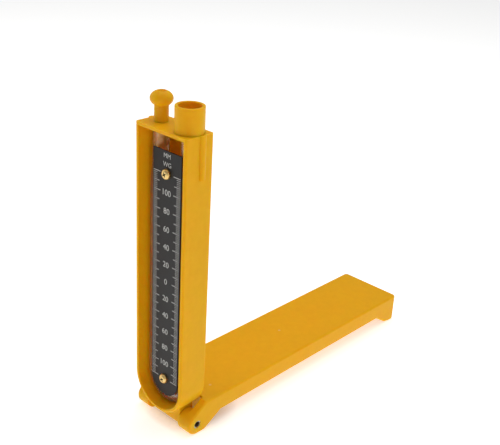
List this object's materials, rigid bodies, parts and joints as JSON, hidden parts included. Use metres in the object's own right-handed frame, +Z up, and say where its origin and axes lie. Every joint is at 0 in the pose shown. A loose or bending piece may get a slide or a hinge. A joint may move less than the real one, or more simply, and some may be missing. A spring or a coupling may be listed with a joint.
{
  "type": "folding U-tube water gauge",
  "caption": "Folding U-tube water gauge: clear hose and black scale in a yellow moulded tray, with a hinged cover that folds back as the foot.",
  "frame": {"origin": "on the floor, under the middle of the overall width and length, as the gauge stands open on its folded-back cover", "axes": "+Z up; the open front of the tray faces -Y, and the cover lies back along +Y; the hinge pin runs along X"},
  "size_m": [0.0434, 0.197, 0.1871],
  "materials": {
    "moulded_plastic": "satin moulded",
    "clear_hose": "clear flexible plastic",
    "scale_black": "satin black",
    "scale_white": "printed ink",
    "brass": "turned and polished",
    "pin_steel": "rolled spring steel"
  },
  "bodies": {
    "gauge": {"housing": "moulded_plastic", "u_tube": "clear_hose", "hose_spigot": "moulded_plastic", "filler_tube": "moulded_plastic", "scale_plate": "scale_black", "scale_screws": "brass", "screw_inserts": "brass"},
    "cover": {"cover_stand": "moulded_plastic", "hinge_pin": "pin_steel"}
  },
  "joints": [
    {"name": "cover_hinge", "type": "hinge", "parent": "gauge", "child": "cover", "pos_m": [0, -0.0883, 0.0063], "axis": [1, 0, 0], "range_deg": [-270, 0]}
  ]
}
